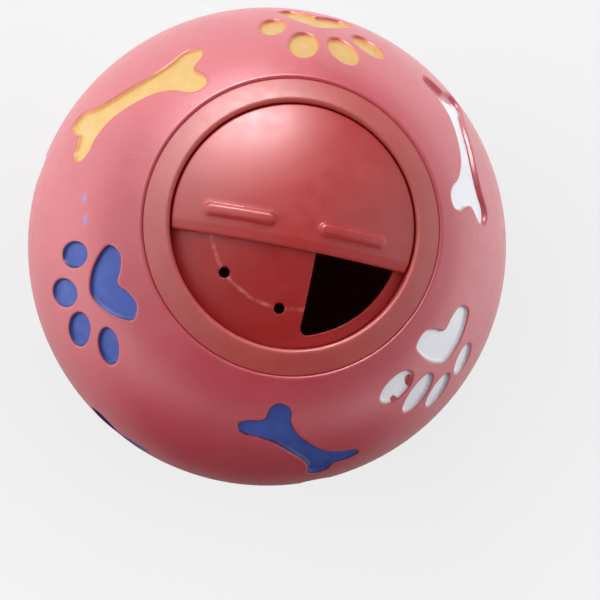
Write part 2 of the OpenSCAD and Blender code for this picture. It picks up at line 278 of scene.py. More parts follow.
# %% [markdown]
# ## Helpers for meshes
# Every piece ends as one plain mesh at the origin, because the export and the joints expect that.
# A number for each point can go along as an attribute for the piece's material. A closed mesh
# whose faces point inwards would look dark and weigh less than nothing, so its faces are turned
# by the sign of its volume, and the printed count of open edges shows whether it is closed.

# %% Mesh helpers


def strip(first, second, count):
    """Quads between two rings of points, given by their first point's number."""
    i = np.arange(count)
    j = (i + 1) % count
    return np.column_stack([first + i, first + j, second + j, second + i])


def make_piece(name, points, faces, material, smooth_angle, values=None):
    """A mesh object from points in millimetres, smooth except where it bends sharply."""
    mesh = bpy.data.meshes.new(name)
    mesh.from_pydata((np.asarray(points) * MM).tolist(), [], [list(map(int, f)) for f in faces])
    mesh.validate()
    if values is not None:
        layer = mesh.attributes.new("edge", "FLOAT", "POINT")
        layer.data.foreach_set("value", np.asarray(values, np.float32))
    mesh.shade_smooth()
    mesh.set_sharp_from_angle(angle=math.radians(smooth_angle))
    mesh.materials.append(material)
    piece = bpy.data.objects.new(name, mesh)
    bpy.context.scene.collection.objects.link(piece)
    mesh.calc_loop_triangles()
    size = [round(v / MM, 1) for v in piece.dimensions]
    print(f"{name}: {len(mesh.loop_triangles)} triangles, {size} mm")
    return piece


def face_outwards(piece):
    """Turns a closed mesh's faces so that they point out of the solid."""
    work = bmesh.new()
    work.from_mesh(piece.data)
    bmesh.ops.recalc_face_normals(work, faces=work.faces)
    open_edges = sum(1 for e in work.edges if len(e.link_faces) != 2)
    volume = work.calc_volume(signed=True)
    if volume < 0:
        bmesh.ops.reverse_faces(work, faces=work.faces)
    work.to_mesh(piece.data)
    work.free()
    print(f"{piece.name}: {open_edges} open edges, {abs(volume) * 1e6:.2f} cm3")


# %% [markdown]
# ## Finishes
# Every finish is a node material on object coordinates, so that it keeps its place on the piece.
# The vinyl is satin and slightly grainy, and mirrors the pale room where it is seen at a slant.
# The ring is a duller, browner red with a fine etched grain. The dial is a deeper red with small
# pale specks. Its plate is duller than its shutter, and its red is the shutter's made darker as
# painted shade, because the plate lies deeper under the shutter and the ring. It bears an arc that
# the shutter's bump has rubbed.

# %% Material helpers


# How far red, green and blue light travel inside red plastic, beside each other
GLOW_SHARES = (1.0, 0.18, 0.14)


class Finish:
    """A material with one Principled shader, and short calls for the nodes that feed it."""

    def __init__(self, name):
        self.material = bpy.data.materials.new(name)
        self.material.use_nodes = True
        self.tree = self.material.node_tree
        self.shader = self.tree.nodes["Principled BSDF"]
        self.coords = self.tree.nodes.new("ShaderNodeTexCoord").outputs["Object"]

    def node(self, kind, inputs=None, **settings):
        """A node with its inputs set to values or linked to other nodes' outputs."""
        made = self.tree.nodes.new(kind)
        for key, value in settings.items():
            setattr(made, key, value)
        for key, value in (inputs or {}).items():
            if hasattr(value, "links"):
                self.tree.links.new(value, made.inputs[key])
            else:
                made.inputs[key].default_value = value
        return made

    def noise(self, size_mm, detail=2.0, roughness=0.5, stretch=None):
        """Noise from 0 to 1 whose lumps are about the given size."""
        place = self.coords
        if stretch:
            place = self.node("ShaderNodeMapping", {"Vector": place, "Scale": stretch}).outputs[0]
        made = self.node("ShaderNodeTexNoise", {
            "Vector": place, "Scale": 1000 / size_mm, "Detail": detail, "Roughness": roughness})
        return made.outputs["Fac"]

    def dots(self, spacing_mm, radius_mm):
        """Small round specks, one now and then: 1 inside them."""
        cells = self.node("ShaderNodeTexVoronoi", {"Vector": self.coords, "Scale": 1000 / spacing_mm})
        radius = radius_mm / spacing_mm
        return self.ramp(cells.outputs["Distance"], 0.6 * radius, radius, 0.7, 0.0)

    def smudge(self, centre_mm, half_mm):
        """A soft oval spot at a place on the piece: 1 inside it."""
        off = self.vector("SUBTRACT", self.coords, Vector(centre_mm) * MM).outputs[0]
        size = self.vector("DIVIDE", off, Vector(half_mm) * MM).outputs[0]
        reach = self.vector("LENGTH", size).outputs["Value"]
        return self.ramp(reach, 0.6, 1.15, 0.85, 0.0)

    def ramp(self, value, low, high, low_out=0.0, high_out=1.0):
        """The value spread from low..high to low_out..high_out, and held there."""
        made = self.node("ShaderNodeMapRange", {
            "Value": value, "From Min": low, "From Max": high, "To Min": low_out, "To Max": high_out})
        return made.outputs["Result"]

    def math(self, operation, a, b=0.0):
        """The result of one sum or other operation on two numbers."""
        return self.node("ShaderNodeMath", {0: a, 1: b}, operation=operation).outputs[0]

    def vector(self, operation, a, b=(0, 0, 0)):
        """A node for one operation on two vectors."""
        return self.node("ShaderNodeVectorMath", {0: a, 1: b}, operation=operation)

    def mix(self, factor, a, b, blend="MIX"):
        """Colour a turned into colour b by a factor."""
        made = self.node("ShaderNodeMix", data_type="RGBA", blend_type=blend)
        for socket, value in ((0, factor), (6, a), (7, b)):
            if hasattr(value, "links"):
                self.tree.links.new(value, made.inputs[socket])
            elif socket:
                made.inputs[socket].default_value = (*value, 1)
            else:
                made.inputs[socket].default_value = value
        return made.outputs[2]

    def feed(self, **sockets):
        """Sets or links the shader's sockets: a name's underscores stand for spaces."""
        for key, value in sockets.items():
            socket = self.shader.inputs[key.replace("_", " ")]
            if hasattr(value, "links"):
                self.tree.links.new(value, socket)
            else:
                socket.default_value = value

    def glow_through(self, weight, depth_mm):
        """Lets a little light travel inside red plastic, so that thin edges and gaps glow."""
        self.feed(Subsurface_Weight=weight, Subsurface_Radius=GLOW_SHARES,
                  Subsurface_Scale=depth_mm * MM)

    def bump(self, height, strength, distance_mm, below=None):
        """Small hills on the surface, on top of those of another bump where one is given."""
        inputs = {"Height": height, "Strength": strength, "Distance": distance_mm * MM}
        if below is not None:
            inputs["Normal"] = below
        return self.node("ShaderNodeBump", inputs).outputs[0]


# %% [markdown]
# ## Three red plastics
# The ball is soft vinyl, the ring has an etched skin, and the dial is a harder plastic. One even
# red would look like a drawing. So each finish is two near reds in wide clouds, with a paler red
# in fine grain and now and then a pale speck. Noise makes all of these without a picture, and its
# sizes are those of the real grain in millimetres. A little light also travels inside the
# plastic, which softens the edges and lets the gap round the dial glow.

# %% Vinyl finish
VINYL_REDS = (0.500, 0.031, 0.052), (0.555, 0.044, 0.067)
VINYL_GRAIN = (0.600, 0.090, 0.115)
VINYL_SPECK = (0.80, 0.42, 0.44)
# Two small spots of blue paint that missed its mask: places and half sizes in millimetres
BLUE_SMUDGES = [(-44.4, -1.0, 32.4), (-43.4, -5.8, 33.3)]
BLUE_SMUDGE_HALF = (0.75, 1.35, 0.9)
BLUE_SMUDGE_COLOUR = (0.20, 0.18, 0.46)


def vinyl_finish():
    """Satin pink red vinyl with fine pores and the two blue spots."""
    f = Finish("pink_red_vinyl")
    cloud = f.ramp(f.noise(28, 3.0, 0.55), 0.35, 0.65)
    grain = f.ramp(f.noise(0.9, 3.0, 0.6), 0.3, 0.7)
    colour = f.mix(cloud, *VINYL_REDS)
    colour = f.mix(f.math("MULTIPLY", grain, 0.22), colour, VINYL_GRAIN)
    colour = f.mix(f.dots(4.5, 0.16), colour, VINYL_SPECK)
    for centre in BLUE_SMUDGES:
        colour = f.mix(f.smudge(centre, BLUE_SMUDGE_HALF), colour, BLUE_SMUDGE_COLOUR)
    pores = f.bump(f.noise(0.45, 2.0, 0.5), 0.22, 0.06)
    waves = f.bump(f.noise(14, 1.0, 0.4), 0.10, 0.5, pores)
    rough = f.ramp(f.noise(3.5, 3.0, 0.6), 0.3, 0.7, 0.33, 0.41)
    f.feed(Base_Color=colour, Roughness=rough, Normal=waves, IOR=1.75, Specular_IOR_Level=1.0)
    f.glow_through(0.08, 1.2)
    return f.material


# %% Ring finish
RING_REDS = (0.440, 0.026, 0.020), (0.490, 0.036, 0.028)
RING_GRAIN = (0.520, 0.085, 0.070)


def ring_finish():
    """Brownish red plastic with an etched, powdery skin."""
    f = Finish("etched_ring_plastic")
    grain = f.ramp(f.noise(0.5, 3.0, 0.6), 0.3, 0.7)
    cloud = f.ramp(f.noise(20, 2.0, 0.5), 0.35, 0.65)
    colour = f.mix(cloud, *RING_REDS)
    colour = f.mix(f.math("MULTIPLY", grain, 0.3), colour, RING_GRAIN)
    etch = f.bump(f.noise(0.35, 3.0, 0.6), 0.35, 0.05)
    rough = f.ramp(f.noise(2.5, 2.0, 0.5), 0.3, 0.7, 0.42, 0.52)
    f.feed(Base_Color=colour, Roughness=rough, Normal=etch, IOR=1.75, Specular_IOR_Level=1.0)
    f.glow_through(0.30, 1.5)
    return f.material


# %% Dial finish
DIAL_REDS = (0.410, 0.009, 0.009), (0.460, 0.014, 0.013)
DIAL_GRAIN = (0.490, 0.035, 0.030)
DIAL_SPECK = (0.66, 0.26, 0.25)
RUBBED_RED = (0.70, 0.26, 0.22)
# The rubbed line's half width where it is full, half width where it ends, and wander
RUB_HALF, RUB_END, RUB_WANDER = 0.12 * MM, 0.55 * MM, 0.5 * MM


def dial_finish(name, shine, shade_tone, rub_arc):
    """The dial's red plastic. The plate is duller, is darkened as painted shade, and has the arc
    rubbed by the shutter's bump.
    """
    f = Finish(name)
    grain = f.ramp(f.noise(0.6, 3.0, 0.6), 0.3, 0.7)
    cloud = f.ramp(f.noise(16, 2.0, 0.5), 0.35, 0.65)
    colour = f.mix(cloud, *DIAL_REDS)
    colour = f.mix(f.math("MULTIPLY", grain, 0.22), colour, DIAL_GRAIN)
    colour = f.mix(f.dots(3.2, 0.12), colour, DIAL_SPECK)
    # Painted shade: a tone below 1 darkens the whole red, for the plate that lies deeper in shade
    colour = f.mix(1.0, colour, (shade_tone, shade_tone, shade_tone), "MULTIPLY")
    rough = f.ramp(f.noise(4, 3.0, 0.6), 0.3, 0.7, 0.34, 0.44)
    if rub_arc:
        flat = f.vector("MULTIPLY", f.coords, (1, 1, 0)).outputs[0]
        reach = f.vector("LENGTH", flat).outputs["Value"]
        wander = f.ramp(f.noise(9, 2.0, 0.5), 0.0, 1.0, -RUB_WANDER, RUB_WANDER)
        off = f.math("ABSOLUTE", f.math("ADD", f.math("SUBTRACT", reach, DETENT_R * MM), wander))
        line = f.ramp(off, RUB_HALF, RUB_END, 1.0, 0.0)
        worn = f.math("MULTIPLY", line, f.ramp(f.noise(2.2, 3.0, 0.7), 0.40, 0.60, 0.05, 0.42))
        colour = f.mix(worn, colour, RUBBED_RED)
    surface = f.bump(f.noise(0.5, 2.0, 0.5), 0.18, 0.04)
    f.feed(Base_Color=colour, Roughness=rough, Normal=surface, IOR=1.65, Specular_IOR_Level=shine)
    f.glow_through(0.10, 0.7)
    return f.material


# %% [markdown]
# ## Paint and plated steel
# The paint is sprayed on and dries satin. It is thin where it ran up a recess's wall, so the
# vinyl's red shows through there, and its colour there is also darker as painted shade of the
# recess wall. Each film carries a number that says how far inside its rim a point lies, and the
# finish turns that number into cover, broken up by noise as a spray is. The screw and washers
# behind the dial are zinc plated steel with a fine brushed streak.

# %% Paint and metal finishes


def paint_finish(name, colour, thin_and_shaded_colour, shade):
    """Sprayed paint: it thins out at its edge, where the vinyl shows through and painted shade darkens it.
    """
    f = Finish(name)
    edge = f.node("ShaderNodeAttribute", attribute_name="edge").outputs["Fac"]
    broken = f.math("ADD", edge, f.ramp(f.noise(1.3, 3.0, 0.6), 0.0, 1.0, -0.16, 0.16))
    cover = f.ramp(broken, 0.10, 0.44)
    body = f.mix(f.ramp(f.noise(6, 3.0, 0.6), 0.35, 0.65), colour, shade)
    grain = f.ramp(f.noise(0.7, 3.0, 0.6), 0.3, 0.7, 0.0, 0.3)
    body = f.mix(grain, body, shade)
    # On the walls the thin colour takes over: partly the vinyl's red through thin paint, partly painted
    # shade
    f.feed(Base_Color=f.mix(cover, thin_and_shaded_colour, body),
           Roughness=f.ramp(f.noise(3, 3.0, 0.6), 0.3, 0.7, 0.36, 0.52),
           Normal=f.bump(f.noise(0.8, 3.0, 0.6), 0.25, 0.06), Specular_IOR_Level=0.5)
    return f.material


def steel_finish():
    """Zinc plated steel, brushed along the dial's axis."""
    f = Finish("zinc_plated_steel")
    streak = f.noise(0.6, 3.0, 0.6, (1.0, 1.0, 0.12))
    colour = f.mix(f.ramp(streak, 0.3, 0.7), (0.46, 0.47, 0.48), (0.66, 0.66, 0.65))
    f.feed(Base_Color=colour, Metallic=1.0, Roughness=f.ramp(streak, 0.3, 0.7, 0.28, 0.45),
           Normal=f.bump(streak, 0.2, 0.03))
    return f.material


vinyl = vinyl_finish()
ring_plastic = ring_finish()
shutter_plastic = dial_finish("shutter_plastic", shine=1.0, shade_tone=1.0, rub_arc=False)
# The plate's darker tone is painted shade, not a different plastic
plate_plastic = dial_finish("plate_plastic", shine=0.5, shade_tone=0.78, rub_arc=True)
steel = steel_finish()
# Each paint: its colour, its thin colour on the recess walls, which holds painted shade, and a second tone
paints = {
    name: paint_finish(f"{name}_paint", colour, thin_and_shaded_colour, shade)
    for name, colour, thin_and_shaded_colour, shade in (
        ("yellow", (0.72, 0.46, 0.16), (0.72, 0.27, 0.055), (0.66, 0.40, 0.13)),
        ("white", (0.86, 0.85, 0.87), (0.50, 0.38, 0.39), (0.80, 0.79, 0.82)),
        ("blue", (0.052, 0.100, 0.40), (0.030, 0.016, 0.08), (0.040, 0.072, 0.31)),
    )
}
print("finishes:", len(bpy.data.materials))

# %% [markdown]
# ## The figures on the ball
# Six figures ring the dial and a second and third row cover the back. Each is pressed into the
# vinyl by the mould, then sprayed through a mask. A figure is placed by its polar angle from the
# dial's axis and its bearing round it, and drawn flat on the ball there.

# %% Figure outlines and places
BONE_L, BONE_W = 35.2, 14.6
PAD_W, PAD_H = 16.4, 11.1
TOE_L, TOE_W = 10.0, 6.2
# A quarter of a bone, half of a paw's pad, and a paw's toes: place, two half axes and turn
BONE_SHARES = [(0, 0.37), (0.33, 0.41), (0.59, 0.63), (0.74, 0.92), (0.87, 1.0), (0.985, 0.82),
               (0.975, 0.48), (0.86, 0)]
PAD_SHARES = [(0, 0), (0.39, -0.13), (0.69, -0.34), (0.93, -0.60), (1.0, -0.81), (0.71, -1.0),
              (0.34, -0.92), (0, -0.75)]
TOE_SHARES = {
    "yellow": [(-0.72, 0.15, 0.90, 0.96, 130), (-0.36, 0.55, 1.00, 1.04, 112),
               (0.18, 0.61, 1.03, 1.00, 84), (0.60, 0.16, 0.86, 0.87, 80)],
    "white": [(0.85, 0, 0.88, 1.00, 42), (0.47, 0.33, 1.03, 0.94, 56),
              (0.06, 0.55, 0.90, 0.92, 64), (-0.42, 0.28, 0.78, 0.92, 75)],
    "blue": [(-0.73, 0.10, 0.90, 0.90, 138), (-0.38, 0.55, 1.00, 1.00, 112),
             (0.15, 0.60, 1.02, 0.98, 82), (0.57, 0.15, 0.88, 0.87, 80)],
}
# How far the front figures' middles are from the mouth, along the ball
FRONT_ROW = 19.8
FRONT_POLAR = math.degrees(math.asin(MOUTH_R / BALL_R) + FRONT_ROW / BALL_R)
# Share of the way to the back, bearing, turn, and share of full size
PLACES = {
    ("yellow", "bone"): [(-0.012, 149.5, -32, 1), (0.352, -58, -32, 1), (0.757, 150, 20, 0.9)],
    ("white", "bone"): [(-0.009, 37, -31.5, 1), (0.352, 182, -32, 1), (0.757, -90, 35, 0.9)],
    ("blue", "bone"): [(0.024, -75, -50, 0.87), (0.352, 62, -32, 1)],
    ("yellow", "paw"): [(0.02, 91, -1, 1), (0.33, 2, 180, 1)],
    ("white", "paw"): [(-0.008, -27.5, 150.5, 1), (0.33, 122, 180, 1)],
    ("blue", "paw"): [(-0.019, -151.5, 180, 1), (0.325, -118, 180, 1), (0.773, 30, 0, 1)],
}


def bone_outline(size):
    """A bone's outline from its quarter, mirrored both ways."""
    quarter = np.array(BONE_SHARES) * (BONE_L / 2 * size, BONE_W / 2 * size)
    inner = quarter[1:-1]
    ends = (quarter, inner[::-1] * (1, -1), [quarter[0] * (1, -1)], inner * (-1, -1),
            [quarter[-1] * (-1, 1)], inner[::-1] * (-1, 1))
    return smooth_loop(np.vstack(ends))


def pad_outline(size):
    """The heart shaped pad of a paw, with its cleft at the origin."""
    half = np.array(PAD_SHARES) * (PAD_W / 2 * size, PAD_H * size)
    return smooth_loop(np.vstack([half, half[1:-1][::-1] * (-1, 1)]))


TOE_SIDES = 32


def toe_outline(toe, size):
    """One oval toe at its place round the pad."""
    a = np.arange(TOE_SIDES) * 2 * math.pi / TOE_SIDES
    oval = np.column_stack([np.cos(a) * TOE_L / 2 * toe[2], np.sin(a) * TOE_W / 2 * toe[3]]) * size
    return turned(oval, toe[4]) + np.array(toe[:2]) * PAD_W * size


class Recess:
    """One hollow in the ball: its outline, drawn flat on the ball at its figure's place."""

    def __init__(self, paint, kind, row, part, outline, place):
        self.paint, self.kind, self.row, self.part = paint, kind, row, part
        polar = math.radians(FRONT_POLAR + place[0] * (180 - FRONT_POLAR))
        bearing = math.radians(place[1])
        self.out = np.array([math.sin(polar) * math.cos(bearing), math.sin(polar) * math.sin(bearing),
                             math.cos(polar)])
        self.across = np.array([-math.sin(bearing), math.cos(bearing), 0])
        self.up = np.cross(self.out, self.across)
        self.outline = turned(outline, place[2])
        self.reach = np.linalg.norm(self.outline, axis=1).max()

    def on_sphere(self, flat, radius):
        """Flat points set on a sphere, whose radius may differ from point to point."""
        height = np.sqrt(BALL_R ** 2 - (flat ** 2).sum(1))
        place = flat[:, :1] * self.across + flat[:, 1:] * self.up + height[:, None] * self.out
        return place * (np.asarray(radius) / BALL_R)[..., None]

    def flat(self, points):
        """Where points on the ball lie in the figure's drawing, and which of them are near it."""
        near = points @ self.out > BALL_R / 2
        return np.column_stack([points @ self.across, points @ self.up]), near


recesses = []
for (paint, kind), places in PLACES.items():
    for row, place in enumerate(places):
        outlines = [bone_outline(place[3])]
        if kind == "paw":
            outlines = [pad_outline(place[3])]
            outlines += [toe_outline(toe, place[3]) for toe in TOE_SHARES[paint]]
        for part, outline in enumerate(outlines):
            recesses.append(Recess(paint, kind, row, part, outline, place))
print("recesses:", len(recesses))

# %% [markdown]
# ## The vinyl ball
# The ball is one rotation moulded skin with a rolled edge round its mouth. A sphere with the
# figures cut by booleans would have hard edges and long thin faces. So its skin is made of points:
# rings along each outline, sparse points between, all joined by a Delaunay triangulation of their
# stereographic map, which keeps circles round. Each point's depth comes from its distance to the
# nearest outline.

# %% Depth of the recesses
# The wall's section: distance outside the outline, and share of the full depth there
WALL_SECTION = [(-0.38, 1.0), (-0.28, 0.98), (-0.20, 0.92), (-0.12, 0.80), (-0.04, 0.62), (0.04, 0.42),
                (0.13, 0.24), (0.24, 0.11), (0.38, 0.04), (0.60, 0.0)]
RING_STEP = 0.45


def recess_depth(distance):
    """Depth at a distance from a recess's outline, negative inside it."""
    at, share = np.array(WALL_SECTION).T
    return RECESS_DEPTH * np.interp(distance, at, share)


def depth_at(points):
    """Depth of the skin at points given on the ball's sphere."""
    depth = np.zeros(len(points))
    for recess in recesses:
        flat, near = recess.flat(points)
        near &= (np.abs(flat) < recess.reach + 1).all(axis=1)
        if near.any():
            here = recess_depth(signed_distance(flat[near], [recess.outline]))
            depth[near] = np.maximum(depth[near], here)
    return depth


print("recess depth on its outline:", float(recess_depth(0.0)), "mm of", RECESS_DEPTH)

# %% Points of the skin
MOUTH_ROLL = 0.8
ROLL_R = MOUTH_R + MOUTH_ROLL
# Distances between points on a recess's floor and between the recesses, and free borders there
FLOOR_STEP, FLOOR_BORDER = 1.3, 0.55
FILL_STEP, FILL_BORDER = 2.1, 1.6
OUTER_RING = 0.85
AROUND = 240


def ring_at(radius, height):
    """A ring of points round the dial's axis."""
    a = np.arange(AROUND) * 2 * math.pi / AROUND
    return np.column_stack([np.cos(a) * radius, np.sin(a) * radius, np.full(AROUND, height)])


def spiral_points(count):
    """Points spread evenly over the ball, along a spiral that turns by the golden angle."""
    i = np.arange(count)
    z = 1 - (2 * i + 1) / count
    turn = i * math.pi * (3 - math.sqrt(5))
    level = np.sqrt(1 - z ** 2)
    return np.column_stack([level * np.cos(turn), level * np.sin(turn), z]) * BALL_R, z


def skin_points():
    """The skin's points on the ball's sphere, the mouth's ring first."""
    clouds = [ring_at(ROLL_R, dome_z(BALL_R, ROLL_R))]
    offsets = [at for at, share in WALL_SECTION] + [OUTER_RING]
    for recess in recesses:
        rings = rings_about([recess.outline], offsets, RING_STEP)
        floor = hex_grid(recess.outline.min(0), recess.outline.max(0), FLOOR_STEP)
        floor = floor[signed_distance(floor, [recess.outline]) < WALL_SECTION[0][0] - FLOOR_BORDER]
        clouds.append(recess.on_sphere(np.vstack([rings, floor]), BALL_R))
    fill, z = spiral_points(int(4 * math.pi * BALL_R ** 2 / (FILL_STEP ** 2 * 0.87)))
    keep = z < math.cos(math.asin(ROLL_R / BALL_R) + MOUTH_ROLL / BALL_R)
    for recess in recesses:
        flat, near = recess.flat(fill)
        near &= (np.abs(flat) < recess.reach + 3).all(axis=1)
        keep[near] &= signed_distance(flat[near], [recess.outline]) > FILL_BORDER
    return np.vstack(clouds + [fill[keep]])


def stereographic(points):
    """The ball drawn on the plane at its back as seen from the dial's pole, the mouth outermost."""
    unit = points / np.linalg.norm(points, axis=1)[:, None]
    return unit[:, :2] * 2 / (1 - unit[:, 2:])


# %% Skin
skin = skin_points()
skin_faces = triangles_over(stereographic(skin), [list(range(AROUND))])
skin_surface = skin * (1 - depth_at(skin) / BALL_R)[:, None]
print("skin:", len(skin), "points,", len(skin_faces), "triangles")

# %% [markdown]
# ## The mouth and the inner wall
# The mould leaves a rolled edge round the ball's mouth, a wall that the ring sits in, and a lip
# that the ring's hook catches. Inside is a plain wall of even thickness. All of this is round, so
# one section is turned about the dial's axis like a pot, with as many points as the skin's first
# ring. That ring belongs to both, so the ball comes out as one closed surface.

# %% Mouth, lip and inner wall
INNER_R = BALL_R - WALL
# The mouth's wall comes this much nearer to the ring than its fit, so the seam is a hairline
MOUTH_TUCK = 0.12
# The roll's crest from its start, in rolls; the rounding of the lip's corners; where the lip ends
ROLL_CREST = (-0.55, 0.40)
CORNER, CORNER_MID = 0.4, 0.12
LIP_END_R = 31.0
ROLL_STEPS = 7
WALL_RINGS = 44


def pot_section():
    """The section from the mouth's ring inwards, as distances from the axis and heights."""
    wall_r = MOUTH_R - MOUTH_TUCK
    start = np.array([ROLL_R, float(dome_z(BALL_R, ROLL_R))])
    crest = start + np.array(ROLL_CREST) * MOUTH_ROLL
    end = np.array([wall_r, float(dome_z(BEZEL_DOME, BEZEL_R)) - 0.25])
    section = []
    for t in np.arange(1, ROLL_STEPS + 1) / ROLL_STEPS:
        section.append(tuple((1 - t) ** 2 * start + 2 * t * (1 - t) * crest + t ** 2 * end))
    section += [(wall_r, SEAT_Z + 0.25), (wall_r - 0.02, SEAT_Z + 0.06), (wall_r - 0.25, SEAT_Z)]
    section += [(LIP_R + 0.45, SEAT_Z), (LIP_R + CORNER_MID, SEAT_Z - CORNER_MID)]
    section += [(LIP_R, SEAT_Z - CORNER), (LIP_R, LIP_Z + CORNER)]
    section += [(LIP_R + CORNER_MID, LIP_Z + CORNER_MID), (LIP_R + CORNER, LIP_Z), (LIP_END_R, LIP_Z)]
    for t in np.linspace(math.acos(LIP_Z / INNER_R), math.pi - 0.04, WALL_RINGS):
        section.append((INNER_R * math.sin(t), INNER_R * math.cos(t)))
    return section


section = pot_section()
pot = np.vstack([ring_at(r, z) for r, z in section])
shell_points = np.vstack([skin_surface, pot, [[0, 0, -INNER_R]]])
ring_starts = [0] + [len(skin_surface) + k * AROUND for k in range(len(section))]
shell_faces = [list(face) for face in skin_faces]
for outer, inner in zip(ring_starts, ring_starts[1:]):
    shell_faces += strip(outer, inner, AROUND).tolist()
last, pole = ring_starts[-1], len(shell_points) - 1
shell_faces += [[last + i, last + (i + 1) % AROUND, pole] for i in range(AROUND)]
shell = make_piece("vinyl_ball", shell_points, shell_faces, vinyl, 60)
face_outwards(shell)
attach(shell, "ball")
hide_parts("ball_shell")

# %% [markdown]
# ## The paint
# Each paint is a thin sprayed film in its recesses. It covers the floor and the wall up to the
# rim, where the mask lay, and a little of it is missing. A film is a closed sheet: its top follows
# the recess just above it and dives under it at the rim and in the missing places, and its back
# is buried in the vinyl. The number kept with each point says how far inside the rim it is,
# because the film is thin on the wall and the vinyl's red shows through there. The finish also
# darkens the wall by that number, as painted shade.

# %% Missing paint
# How far each mask sat off its figure, across and towards the dial
MASK_SHIFT = {
    ("yellow", "bone"): (0.0, 0.0), ("white", "bone"): (0.1, 0.75), ("blue", "bone"): (0.0, 0.0),
    ("yellow", "paw"): (-0.15, 0.25), ("white", "paw"): (-0.15, 0.0), ("blue", "paw"): (0.0, 0.0),
}
# Missing paint by paint, kind, row and part: middle, half length, half width and turn, from the photo
MISSING = {
    ("white", "bone", 0, 0): [((16.8, -9.0), 9.0, 6.0, 66)],
    ("yellow", "bone", 0, 0): [((16.6, -8.6), 3.0, 1.3, 10)],
    ("white", "paw", 0, 1): [((-9.0, 5.2), 1.5, 1.0, 60), ((-14.4, 3.7), 0.8, 0.7, 0)],
}


def missing_share(recess, flat, wobble):
    """How far a point is inside the nearest missing place, from 0 to 1."""
    share = np.zeros(len(flat))
    places = MISSING.get((recess.paint, recess.kind, recess.row, recess.part), [])
    for middle, length, width, turn in places:
        local = turned(flat - middle, -turn) / (length, width)
        reach = np.linalg.norm(local, axis=1)
        share = np.maximum(share, np.clip((1.15 - reach + wobble) / 0.3, 0, 1))
    return share


print("missing paint:", sum(len(places) for places in MISSING.values()), "places")

# %% One paint film
# The floor's point spacing in the front row and behind it
FILM_STEPS = (0.60, 0.90)
# Thickness, how far the film runs past the outline, how deep its back is buried, and how deep its
# top dives where the paint is missing
FILM_RISE = 0.09
FILM_EDGE = 0.30
FILM_BACK = 0.30
FILM_DIVE = 0.12
# Distance from the rim over which the film gets its full thickness, and its full colour
RISE_RUN = 0.12
COLOUR_RUN = 1.2
# How far the film's very rim lies under the vinyl
RIM_SUNK = 0.03
# Unevenness of the missing places' edges
WOBBLE = 0.12


def film(recess):
    """Points, faces and edge values of one closed paint film."""
    border = even_loop(offset_loop(even_loop(recess.outline, RING_STEP), FILM_EDGE), RING_STEP)
    wall = [at for at, share in WALL_SECTION if at < FILM_EDGE - 0.02]
    rings = rings_about([recess.outline], wall + [wall[0] - 0.35], RING_STEP)
    fill = hex_grid(recess.outline.min(0), recess.outline.max(0), FILM_STEPS[min(recess.row, 1)])
    fill = fill[signed_distance(fill, [recess.outline]) < wall[0] - 0.7]
    flat = np.vstack([border, rings, fill])
    faces = triangles_over(flat, [list(range(len(border)))])
    faces = faces[signed_distance(flat[faces].mean(1), [border]) < 0]
    distance = signed_distance(flat, [recess.outline])
    inside = FILM_EDGE - distance
    inside[:len(border)] = 0
    wobble = WOBBLE * np.sin(flat[:, 0] * 2.1 + recess.row) * np.sin(flat[:, 1] * 2.7)
    shift = MASK_SHIFT[recess.paint, recess.kind]
    masked = FILM_EDGE - signed_distance(flat - shift, [recess.outline])
    gone = np.maximum(missing_share(recess, flat, wobble), np.clip(0.5 - masked / 0.2, 0, 1))
    rise = FILM_RISE * np.clip(inside / RISE_RUN, 0, 1) - RIM_SUNK
    rise = rise * (1 - gone) - FILM_DIVE * gone
    floor_r = BALL_R - recess_depth(distance)
    top = recess.on_sphere(flat, floor_r + rise)
    back = recess.on_sphere(flat, floor_r - FILM_BACK)
    count = len(flat)
    walls = strip(0, count, len(border))
    all_faces = faces.tolist() + (faces[:, ::-1] + count).tolist() + walls.tolist()
    edge = np.clip(np.minimum(np.minimum(inside, masked) / COLOUR_RUN, 1 - gone), 0, 1)
    return np.vstack([top, back]), all_faces, np.concatenate([edge, edge])


def joined(parts):
    """Several meshes' points, faces and values as one."""
    points, faces, values, start = [], [], [], 0
    for part in parts:
        points.append(part[0])
        faces += [[i + start for i in face] for face in part[1]]
        values.append(part[2] if len(part) > 2 else np.zeros(len(part[0])))
        start += len(part[0])
    return np.vstack(points), faces, np.concatenate(values)


# %% Paint pieces
for paint, kind in PLACES:
    films = [film(r) for r in recesses if (r.paint, r.kind) == (paint, kind)]
    points, faces, edge = joined(films)
    piece = make_piece(f"{paint}_{kind}_film", points, faces, paints[paint], 60, edge)
    face_outwards(piece)
    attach(piece, "ball")
    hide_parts(f"{paint}_{kind}_paint")

# %% [markdown]
# ## Turned shapes and copies
# The ring, the plate's skirt and hub and the shutter's stem are turned shapes, each one section
# swept round the dial's axis. Geometry Nodes does that: the section is a loop of edges, and a
# tree carries it round a circle. Spin would do it too, but a tree's sizes stay named inputs. A
# second tree sets copies of a piece round the axis, for the plate's snap lugs.

# %% What both trees share


def new_tree(name, inputs):
    """A geometry node tree with a geometry input and output and the named inputs."""
    tree = bpy.data.node_groups.new(name, "GeometryNodeTree")
    tree.interface.new_socket("Geometry", in_out="INPUT", socket_type="NodeSocketGeometry")
    for label, kind in inputs:
        tree.interface.new_socket(label, in_out="INPUT", socket_type=kind)
    tree.interface.new_socket("Geometry", in_out="OUTPUT", socket_type="NodeSocketGeometry")
    return tree, tree.nodes.new("NodeGroupInput"), tree.nodes.new("NodeGroupOutput")


def finish_tree(tree, source, given, out):
    """The tree's end: instances made real, and the material set."""
    realize = tree.nodes.new("GeometryNodeRealizeInstances")
    paint = tree.nodes.new("GeometryNodeSetMaterial")
    tree.links.new(source, realize.inputs[0])
    tree.links.new(realize.outputs[0], paint.inputs["Geometry"])
    tree.links.new(given.outputs["Material"], paint.inputs["Material"])
    tree.links.new(paint.outputs[0], out.inputs[0])


# %% Sweep and array trees


